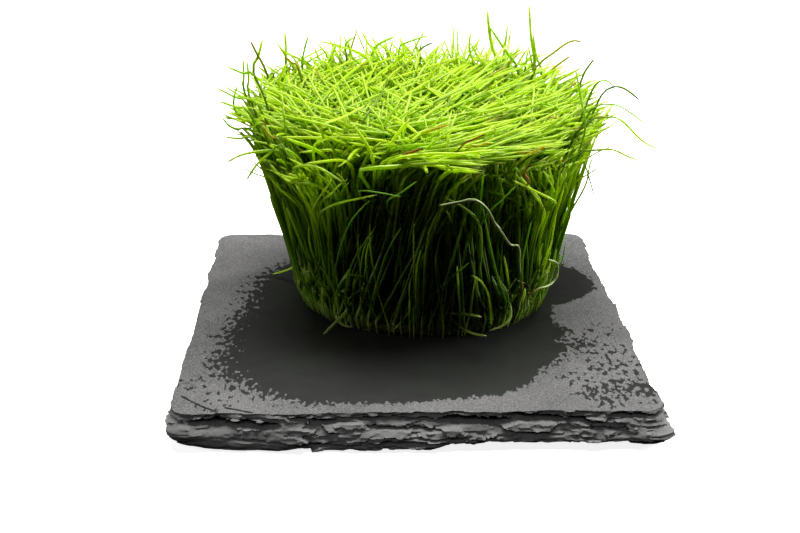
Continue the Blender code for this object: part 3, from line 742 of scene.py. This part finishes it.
def resample(route, place):
    """A point of a route between two of its points."""
    before = min(int(place), len(route) - 2)
    return route[before].lerp(route[before + 1], place - before)


def back_end(route):
    """The place along a route at which it passes the furthest back that a blade may end."""
    for i, (place, after) in enumerate(zip(route, route[1:])):
        if after.y > FURTHEST_BACK:
            return i + (FURTHEST_BACK - place.y) / (after.y - place.y)
    return len(route) - 1.0


def blade_route(blade):
    """A blade's points from foot to tip: with its neighbours at first, then its own way. It lies
    over under the ceiling of the turf, and it ends where it would leave the turf."""
    place = Vector((*blade["foot"], 0.0))
    step = blade["length"] / BLADE_STEPS
    route = [place.copy()]
    kept = BLADE_STEPS
    for i in range(BLADE_STEPS):
        share = (i + 0.5) / BLADE_STEPS
        own = smooth_step(blade["bends_from"], 1.0, share)
        way = growing_direction(*place, LYING_HEIGHT) + blade["lean"] + blade["wander"] * own
        top = ceiling(place) + blade["above"]
        near_top = smooth_step(top - 11.0 * MM, top, place.z)
        lies = blade["lies"].copy()
        lies.z = blade["rise"] - max(way.z, 0.0)
        way += lies * near_top
        outward = Vector((place.x, place.y, 0.0)).normalized()
        room = wall_reach(place) + blade["beyond"]
        reach = math.hypot(place.x, place.y)
        if place.z < CEILING_FRONT * 0.8:
            near_wall = smooth_step(room - 3.0 * MM, room + 0.5 * MM, reach)
            way -= outward * (max(way.dot(outward) - 0.2, 0.0) + 0.35 * (reach > room)) * near_wall
        elif (reach > room or place.z > top + 3.0 * MM) and kept == BLADE_STEPS:
            kept = i + 1
        place = place + way.normalized() * step
        route.append(place.copy())
    kept = min(kept, back_end(route))
    return [resample(route, kept * i / BLADE_STEPS) for i in range(BLADE_STEPS + 1)]


def combed(x, y):
    """How much the canopy at a place is combed to the right, from 0 to 1."""
    return smooth_step(-18.0 * MM, 8.0 * MM, x - 0.5 * y)


def heading(degrees, strength=1.0):
    """A level direction: 0 is to the right and 90 is to the back."""
    turn = math.radians(degrees)
    return Vector((math.cos(turn), math.sin(turn), 0.0)) * strength


def turf_blade(rng, foot):
    """A blade of the dense turf."""
    comb = combed(*foot)
    reach = math.hypot(*foot) / PLUG_RADIUS
    outward = Vector((*foot, 0.0)).normalized()
    front = smooth_step(0.2, 0.9, -outward.y) * smooth_step(0.5, 0.9, reach)
    rim = smooth_step(0.6, 0.95, reach)
    back = smooth_step(0.3, 1.1, foot[1] / PLUG_RADIUS)
    if rng.random() < 0.3:
        lies = heading(rng.uniform(0.0, 360.0))
    elif rng.random() < comb:
        lies = heading(rng.gauss(48.0, 26.0))
    else:
        lies = heading(rng.gauss(125.0, 30.0))
    wander = heading(rng.uniform(0.0, 360.0), abs(rng.gauss(0.0, 0.35)))
    wander += lies * rng.uniform(0.0, 0.7)
    wander -= outward * max(wander.dot(outward), 0.0) * rim * 0.7
    flow = min(max((FLOW_MEETING - foot[0]) / FLOW_BREADTH, -0.5), 1.0) * front
    wander.x += FLOW_BEND * max(flow, 0.0) * rng.uniform(0.5, 1.3)
    return {
        "foot": foot,
        "length": rng.uniform(SHORTEST_BLADE, LONGEST_BLADE),
        "lean": Vector((rng.gauss(FLOW_LEAN * flow, 0.04 + 0.08 * front), rng.gauss(0.0, 0.04), 0.0)),
        "wander": wander,
        "lies": lies * mix(1.0, 0.4, back),
        "rise": rng.uniform(-0.25, 0.75) + 1.2 * back,
        "bends_from": rng.uniform(0.45, 0.65),
        "above": (rng.gauss(0.0, 1.3) + 3.0 * back * rng.random()) * MM,
        "beyond": (rng.gauss(0.0, 0.8) + 3.0 * rng.random() ** 8) * MM,
        "radius": rng.uniform(THIN_BLADE, THICK_BLADE),
        "route": None,
        "hue": rng.random(),
        "leaf": None,
        "end": DEAD_ORANGE if rng.random() < 0.03 else LEAF_TIP,
    }


def plan_turf(rng):
    """Blades all over the plug's foot, evenly spread with a little unrest."""
    golden_angle = math.pi * (3.0 - math.sqrt(5.0))
    blades = []
    for i in range(TURF_BLADES):
        reach = PLUG_RADIUS * math.sqrt((i + rng.random()) / TURF_BLADES)
        angle = i * golden_angle + rng.uniform(-0.03, 0.03)
        foot = (reach * math.cos(angle), reach * math.sin(angle))
        blade = turf_blade(rng, foot)
        if not is_in_hollow(foot) or rng.random() < 0.4:
            blades.append(blade)
    return blades


def is_in_hollow(foot):
    """Whether a foot is at the front of the turf, where the blades stand thinly."""
    return foot[1] < -0.80 * PLUG_RADIUS or (foot[1] < -0.66 * PLUG_RADIUS and abs(foot[0]) < 16.0 * MM)


def plan_young_blades(rng):
    """Short, thin blades round the plug's rim."""
    blades = []
    for _ in range(YOUNG_BLADES):
        angle = rng.uniform(0.0, 2.0 * math.pi)
        reach = PLUG_RADIUS + rng.uniform(-1.5, 0.6) * MM
        blade = turf_blade(rng, (reach * math.cos(angle), reach * math.sin(angle)))
        blade["length"] = rng.uniform(7.0, 30.0) * MM
        blade["lean"] = Vector((rng.gauss(0.0, 0.15), rng.gauss(0.0, 0.15), 0.0))
        blade["wander"] *= 0.6
        blade["radius"] = rng.uniform(0.20, 0.32) * MM
        blades.append(blade)
    return blades


def plan_fringe(rng, count, turns, reaches, lengths, rises):
    """Blades of many lengths near the turf's rim, whose tips show on its side under the canopy."""
    blades = []
    for _ in range(count):
        turn = math.radians(rng.uniform(*turns))
        reach = rng.uniform(*reaches) * PLUG_RADIUS
        blade = turf_blade(rng, (reach * math.cos(turn), reach * math.sin(turn)))
        blade["length"] = rng.uniform(*lengths) * MM
        blade["lies"] = heading(math.degrees(turn) + rng.gauss(0.0, 60.0), rng.uniform(0.3, 0.9))
        blade["rise"] = rng.uniform(*rises)
        blade["wander"] = blade["lies"] * rng.uniform(0.0, 0.9)
        blade["lean"] = Vector((rng.gauss(0.0, 0.08), rng.gauss(0.0, 0.08), 0.0))
        blade["above"] = rng.uniform(-12.0, -1.0) * MM
        blade["beyond"] = (rng.gauss(0.0, 1.0) + 5.0 * rng.random() ** 3) * MM
        blade["radius"] = rng.uniform(*FRINGE_RADII) * MM
        blades.append(blade)
    return blades


def plan_crowns(rng, count, turns):
    """Thick pale crowns and stubs that crowd the foot's rim between two angles."""
    blades = []
    for _ in range(count):
        turn = math.radians(rng.uniform(*turns))
        reach = PLUG_RADIUS + rng.uniform(-2.0, 0.4) * MM
        blade = turf_blade(rng, (reach * math.cos(turn), reach * math.sin(turn)))
        blade["length"] = rng.uniform(3.0, 13.0) * MM
        blade["lean"] = Vector((rng.gauss(0.0, 0.45), rng.gauss(0.0, 0.35), 0.0))
        blade["wander"] = heading(rng.uniform(0.0, 360.0), rng.uniform(0.2, 2.5))
        blade["bends_from"] = 0.2
        blade["radius"] = rng.uniform(0.20, 0.40) * MM
        blade["leaf"] = mix(CROWN_PALE, LEAF_DEEP, 0.65 * rng.random()) * rng.uniform(0.5, 1.1)
        blade["end"] = blade["leaf"] * 0.8
        blades.append(blade)
    return blades


def plan_lying_blades(rng, count, foot_box, lengths, headings, above):
    """Long blades that lie over the canopy side by side."""
    blades = []
    left, right, front, back = foot_box
    while len(blades) < count:
        foot = (rng.uniform(left, right) * MM, rng.uniform(front, back) * MM)
        if math.hypot(*foot) > 0.95 * PLUG_RADIUS:
            continue
        blade = turf_blade(rng, foot)
        blade["length"] = rng.uniform(*lengths) * MM
        blade["bends_from"] = CEILING_FRONT * 0.75 / blade["length"]
        blade["lies"] = heading(rng.gauss(*headings), 1.5)
        blade["rise"] = rng.uniform(-0.2, 0.3)
        blade["wander"] = blade["lies"] * rng.uniform(0.1, 0.6)
        blade["above"] = rng.uniform(*above) * MM
        blade["radius"] = rng.uniform(0.32, 0.42) * MM
        blades.append(blade)
    return blades


def picture_point(across, down, back):
    """The place that shows at a point of the picture and is this far back, in millimetres."""
    side = (across - PICTURE_WIDTH / 2.0) / PICTURE_WIDTH * CAMERA_SENSOR / CAMERA_LENS
    rise = (PICTURE_HEIGHT / 2.0 - down) / PICTURE_WIDTH * CAMERA_SENSOR / CAMERA_LENS
    turn, eye = camera_pose()
    sight = turn @ Vector((side, rise, -1.0))
    return eye + sight * ((back * MM - eye.y) / sight.y)


def plan_standout_blades(rng):
    """The blades traced in the photograph, each grown from a foot under its lowest traced point."""
    base = Vector((PLUG_CENTRE.x, PLUG_CENTRE.y, FOOT_HEIGHT))
    blades = []
    for colour, radius, low, high, course in STANDOUT_BLADES:
        traced = []
        for i, (across, down) in enumerate(course):
            back = mix(low, high, i / (len(course) - 1.0))
            spot = picture_point(across, down, back) - base
            spot.z = max(spot.z, SLATE_TOP - FOOT_HEIGHT + 2.0 * radius * MM)
            traced.append(spot)
        high_up = smooth_step(22.0 * MM, 36.0 * MM, traced[0].z) * smooth_step(-8.0, -20.0, low)
        foot = Vector((traced[0].x, traced[0].y, 0.0)) * mix(0.72, 0.40, high_up)
        if foot.length > 0.92 * PLUG_RADIUS:
            foot = foot.normalized() * 0.92 * PLUG_RADIUS
        shaft = foot.lerp(Vector((traced[0].x, traced[0].y, 0.0)), mix(0.35, 0.30, high_up))
        shaft.z = max(traced[0].z * mix(0.5, 0.72, high_up), MM)
        route = smooth_route([foot, shaft] + traced, samples=10)
        blade = turf_blade(rng, (foot.x, foot.y))
        last = len(route) - 1.0
        blade["route"] = [resample(route, last * i / BLADE_STEPS) for i in range(BLADE_STEPS + 1)]
        blade["radius"] = radius * MM
        blade["leaf"], blade["end"] = (np.array(part) for part in STANDOUT_COLOURS[colour])
        blades.append(blade)
    return blades


def blade_colours(blades, share):
    """Colours along each blade: a pale crown, shaded green with painted light at the turf's left foot,
    yellow-green and a tip of its own.
    """
    hue = np.array([blade["hue"] for blade in blades])[:, None, None]
    ends = np.array([blade["end"] for blade in blades])[:, None, :]
    leaf = mix(LEAF_DEEP, LEAF_BRIGHT, hue)
    for i, blade in enumerate(blades):
        if blade["leaf"] is not None:
            leaf[i] = blade["leaf"]
    t = share[None, :, None]
    crown = np.clip(1.0 - t / CROWN_FADE, 0.0, 1.0)
    reach = np.array([math.hypot(*blade["foot"]) / PLUG_RADIUS for blade in blades])[:, None, None]
    rim = np.clip((reach - 0.6) / 0.3, 0.0, 1.0)
    upper = np.clip((t - mix(SHADE_END_MIDDLE, SHADE_END_RIM, rim)) / SHADE_FADE, 0.0, 1.0)
    end = np.clip((t - TIP_START) / TIP_FADE, 0.0, 1.0)
    across = np.array([blade["foot"][0] / PLUG_RADIUS for blade in blades])[:, None, None]
    # Painted light: the lower blades at the turf's left are painted a lighter green, up to about two fifths
    # of their length
    left_foot_painted_light = np.clip((-across - 0.35) / 0.4, 0.0, 1.0)
    left_foot_painted_light = left_foot_painted_light * np.clip((0.42 - t) / 0.14, 0.0, 1.0)
    low = mix(mix(LEAF_SHADED, LEAF_DEEP, 0.5 * hue), FOOT_GREEN_PAINTED_LIGHT, 0.75 * left_foot_painted_light)
    colour = mix(low, leaf, upper)
    colour = mix(colour, CROWN_PALE, crown * mix(0.35, 0.95, hue))
    return mix(colour, ends, end * 0.9)


def crown_ends(routes, base):
    """Each blade's lower end, in the felt of roots under its foot and a little further in."""
    feet = routes[:, :1]
    inward = base - feet
    inward[:, :, 2] = 0.0
    inward /= np.maximum(np.linalg.norm(inward, axis=2, keepdims=True), MM)
    return feet + inward * CROWN_TUCK - np.array((0.0, 0.0, CROWN_DEPTH))


def blade_mesh(name, blades):
    """One closed mesh body for each blade: a tapering stem of rings with a pointed tip."""
    base = np.array((PLUG_CENTRE.x, PLUG_CENTRE.y, FOOT_HEIGHT))
    routes = [blade["route"] or blade_route(blade) for blade in blades]
    routes = np.array([[tuple(point) for point in route] for route in routes]) + base
    for _ in range(3):
        routes[:, 1:-1] = 0.25 * routes[:, :-2] + 0.5 * routes[:, 1:-1] + 0.25 * routes[:, 2:]
    routes = np.concatenate((crown_ends(routes, base), routes), 1)
    rings = list(BLADE_RINGS)
    places = routes[:, rings]
    tangents = routes[:, [i + 1 for i in rings]] - routes[:, [max(i - 1, 0) for i in rings]]
    tangents /= np.linalg.norm(tangents, axis=2, keepdims=True)
    turns = np.array([blade["hue"] * 40.0 for blade in blades])
    across = np.stack((np.cos(turns), np.sin(turns), 0.0 * turns), 1)[:, None, :]
    across = across - tangents * (tangents * across).sum(2, keepdims=True)
    across /= np.linalg.norm(across, axis=2, keepdims=True)
    beside = np.cross(tangents, across)
    share = np.array(rings) / (BLADE_STEPS + 1.0)
    thick = np.interp(share, (0.0, 0.04, 0.1, 0.7, 0.92, 1.0), (0.4, 0.95, 0.9, 1.05, 0.9, 0.55))
    radius = np.array([blade["radius"] for blade in blades])[:, None] * thick[None, :]
    points = []
    for side in range(BLADE_SIDES):
        angle = 2.0 * math.pi * side / BLADE_SIDES
        flat = 0.8 if side % 2 else 1.0
        ring = across * math.cos(angle) + beside * math.sin(angle)
        points.append(places + ring * radius[:, :, None] * flat)
    points = np.stack(points, 2).reshape(len(blades), -1, 3)
    points = np.concatenate((points, routes[:, -1:]), 1)
    faces = [tuple(range(BLADE_SIDES))[::-1]]
    faces += side_faces(len(rings), BLADE_SIDES)
    faces += fan_faces((len(rings) - 1) * BLADE_SIDES, BLADE_SIDES, points.shape[1] - 1)
    every_face = []
    for i in range(len(blades)):
        start = i * points.shape[1]
        every_face += [tuple(start + corner for corner in face) for face in faces]
    mesh = bpy.data.meshes.new(name)
    mesh.from_pydata(points.reshape(-1, 3).tolist(), [], every_face)
    paint(mesh, blade_colours(blades, np.append(np.repeat(share, BLADE_SIDES), 1.0)))
    return mesh


def plan_blades():
    """Every blade of the plug. The order stays, because they share one run of random draws."""
    rng = random.Random(BLADE_SEED)
    blades = plan_turf(rng)
    for swathe in LYING_SWATHES:
        blades += plan_lying_blades(rng, *swathe)
    for fringe in FRINGES:
        blades += plan_fringe(rng, *fringe)
    for crowd in CROWN_CROWDS:
        blades += plan_crowns(rng, *crowd)
    return blades + plan_young_blades(rng) + plan_standout_blades(rng)


def build_grass():
    """A piece for each tuft, with the blades whose feet are nearest to its middle."""
    centres = tuft_centres()
    shares = [[] for _ in centres]
    for blade in plan_blades():
        nearest = min(range(TUFT_COUNT), key=lambda i: math.dist(centres[i], blade["foot"]))
        shares[nearest].append(blade)
    grass = plant_material("grass_blades", 0.64, 0.38, 0.5 * MM)
    for index, share in enumerate(shares):
        number = f"{index + 1:02d}"
        add_piece(f"grass_{number}", blade_mesh(f"grass_{number}", share), grass, "grass", f"tuft_{number}")


# Roots and runners

def build_roots(material):
    """The felted disc of roots and crowns, lumpy all round."""
    around = 240
    levels = ((0.0, -1.6), (0.2, -0.4), (0.45, 0.0), (0.7, -0.2), (0.9, -1.0), (1.0, -2.4))
    height = ROOTS_HIGH.z - ROOTS_LOW.z
    points = []
    for share, reach_out in levels:
        for i in range(around):
            angle = 2.0 * math.pi * i / around
            facing = Vector((math.cos(angle), math.sin(angle), 0.0))
            lump = noise.noise(facing * 14.0 + Vector((0.0, 0.0, share * 2.0))) * 0.7
            lump += noise.noise(facing * 40.0 + Vector((0.0, 0.0, share * 5.0))) * 0.4
            reach = PLUG_RADIUS + (reach_out + lump - 1.8) * MM
            place = facing * reach
            points.append((PLUG_CENTRE.x + place.x, PLUG_CENTRE.y + place.y, ROOTS_LOW.z + height * share))
    faces = [tuple(range(around))[::-1]]
    faces += side_faces(len(levels), around)
    faces.append(tuple(range(len(points) - around, len(points))))
    mesh = bpy.data.meshes.new("roots")
    mesh.from_pydata(points, [], faces)
    colours = []
    for place in points:
        pale = 0.5 + 0.5 * noise.noise(Vector(place) / (2.0 * MM))
        colours.append(mix(DEAD_BROWN, CROWN_PALE, pale * 0.2))
    paint(mesh, colours)
    add_piece("roots", mesh, material, "roots", "root_mat")


def smooth_route(points, samples):
    """A smooth curve through a list of points, as a closer list of points."""
    ends = [points[0] * 2.0 - points[1]] + list(points) + [points[-1] * 2.0 - points[-2]]
    route = []
    for a, b, c, d in zip(ends, ends[1:], ends[2:], ends[3:]):
        for i in range(samples):
            t = i / samples
            route.append(0.5 * (2.0 * b + (c - a) * t + (2.0 * a - 5.0 * b + 4.0 * c - d) * t * t
                                + (3.0 * b - a - 3.0 * c + d) * t ** 3))
    route.append(points[-1])
    return route


def grow(x, y, length):
    """Follow the growing directions from a point on the plug's foot."""
    place = Vector((x, y, 0.0))
    left = length
    while left > 1e-9:
        step = min(MM, left)
        half = place + growing_direction(*place) * step * 0.5
        place = place + growing_direction(*half) * step
        left -= step
    return place + Vector((PLUG_CENTRE.x, PLUG_CENTRE.y, FOOT_HEIGHT))


def tube_mesh(name, route, radii, sides=8):
    """A round closed tube along a route."""
    bm = bmesh.new()
    rings = []
    across = Vector((0.3, 0.2, 1.0))
    for i, (place, radius) in enumerate(zip(route, radii)):
        ahead = route[min(i + 1, len(route) - 1)] - route[max(i - 1, 0)]
        ahead.normalize()
        across = (across - ahead * across.dot(ahead)).normalized()
        beside = ahead.cross(across)
        ring = []
        for side in range(sides):
            angle = 2.0 * math.pi * side / sides
            ring.append(bm.verts.new(place + (across * math.cos(angle) + beside * math.sin(angle)) * radius))
        rings.append(ring)
    bm.faces.new(rings[0][::-1])
    for lower, upper in zip(rings, rings[1:]):
        for i in range(sides):
            j = (i + 1) % sides
            bm.faces.new((lower[i], lower[j], upper[j], upper[i]))
    bm.faces.new(rings[-1])
    mesh = bpy.data.meshes.new(name)
    bm.to_mesh(mesh)
    bm.free()
    return mesh


def build_runner(name, node, places, stem, material):
    """A bare runner: a thin stem, thicker at its joints and rusty near its foot."""
    points = []
    for angle, height, apart in places:
        reach = PLUG_RADIUS + apart * MM
        turn = math.radians(angle)
        points.append(grow(reach * math.cos(turn), reach * math.sin(turn), height * MM))
    route = smooth_route(points, samples=8)
    radii = []
    for i in range(len(route)):
        joint = math.exp(-((i % 24 - 12) / 2.0) ** 2)
        radii.append(RUNNER_RADIUS * (1.0 + 0.5 * joint))
    mesh = tube_mesh(name, route, radii)
    colours = []
    for i, spot in enumerate(mesh.vertices):
        along = i / len(mesh.vertices)
        shade = 0.5 + 0.5 * noise.noise(spot.co / (3.0 * MM))
        rusty = smooth_step(0.08, 0.14, along) * smooth_step(0.30, 0.24, along)
        colour = mix(stem, CROWN_PALE, 0.3 * shade)
        colours.append(mix(colour, DEAD_ORANGE * 0.6, 0.6 * rusty))
    paint(mesh, colours)
    add_piece(name, mesh, material, "runner", node)


# Stage

def build_stage():
    bm = bmesh.new()
    bmesh.ops.create_grid(bm, x_segments=1, y_segments=1, size=0.5)
    mesh = bpy.data.meshes.new("floor")
    bm.to_mesh(mesh)
    bm.free()
    floor = bpy.data.objects.new("floor", mesh)
    floor.location.z = SLATE_LOW.z - 0.2 * MM
    mesh.materials.append(floor_material())
    floor.visible_diffuse = False
    floor.visible_glossy = False
    floor.visible_transmission = False
    bpy.context.scene.collection.objects.link(floor)


def add_area_light(name, place, target, size, power):
    light = bpy.data.lights.new(name, "AREA")
    light.shape = "RECTANGLE"
    light.size, light.size_y = size
    light.energy = power
    lamp = bpy.data.objects.new(name, light)
    lamp.location = place
    lamp.rotation_euler = (Vector(target) - Vector(place)).to_track_quat("-Z", "Y").to_euler()
    bpy.context.scene.collection.objects.link(lamp)
    return lamp


def build_lights(slate):
    add_area_light("overhead", *OVERHEAD_LIGHT)
    add_area_light("right", *RIGHT_LIGHT)
    add_area_light("left", *LEFT_LIGHT)
    fill = add_area_light("slate_edge", *SLATE_EDGE_LIGHT)
    lit = bpy.data.collections.new("slate_only")
    lit.objects.link(slate)
    fill.light_linking.receiver_collection = lit
    world = bpy.data.worlds.new("studio")
    world.use_nodes = True
    tree = world.node_tree
    tree.nodes.clear()
    path = add_node(tree, "ShaderNodeLightPath").outputs["Is Camera Ray"]
    dim = add_node(tree, "ShaderNodeBackground", None, {"Color": grey(1.0), "Strength": WORLD_GLOW})
    white = add_node(tree, "ShaderNodeBackground", None, {"Color": grey(1.0), "Strength": 1.0})
    both = add_node(tree, "ShaderNodeMixShader", None, {0: path, 1: dim.outputs[0], 2: white.outputs[0]})
    add_node(tree, "ShaderNodeOutputWorld", None, {"Surface": both.outputs[0]})
    bpy.context.scene.world = world
    bpy.context.scene.view_settings.view_transform = "Standard"


def camera_pose():
    """How the camera is turned, and where it is."""
    sight = Vector((
        -math.sin(CAMERA_AZIMUTH) * math.cos(CAMERA_ELEVATION),
        math.cos(CAMERA_AZIMUTH) * math.cos(CAMERA_ELEVATION),
        -math.sin(CAMERA_ELEVATION),
    ))
    turn = sight.to_track_quat("-Z", "Y").to_matrix() @ Matrix.Rotation(CAMERA_ROLL, 3, "Z")
    return turn, CAMERA_TARGET - sight * CAMERA_DISTANCE


def build_camera():
    lens = bpy.data.cameras.new("camera")
    lens.lens = CAMERA_LENS
    lens.sensor_width = CAMERA_SENSOR
    camera = bpy.data.objects.new("camera", lens)
    turn, eye = camera_pose()
    camera.location = eye
    camera.rotation_euler = turn.to_euler()
    bpy.context.scene.collection.objects.link(camera)
    bpy.context.scene.camera = camera


def main():
    noise.seed_set(WAVE_SEED)
    build_camera()
    slate = build_slate()
    felt = plant_material("root_felt", 0.0, 0.6, 0.4 * MM)
    stem = plant_material("runner_stem", 0.2, 0.4, 0.6 * MM)
    build_roots(felt)
    build_grass()
    build_runner("runner_over_front", "runner_front", RUNNER_FRONT, RUNNER_PALE, stem)
    build_runner("runner_at_side", "runner_side", RUNNER_SIDE, RUNNER_GREEN, stem)
    build_stage()
    build_lights(slate)


main()
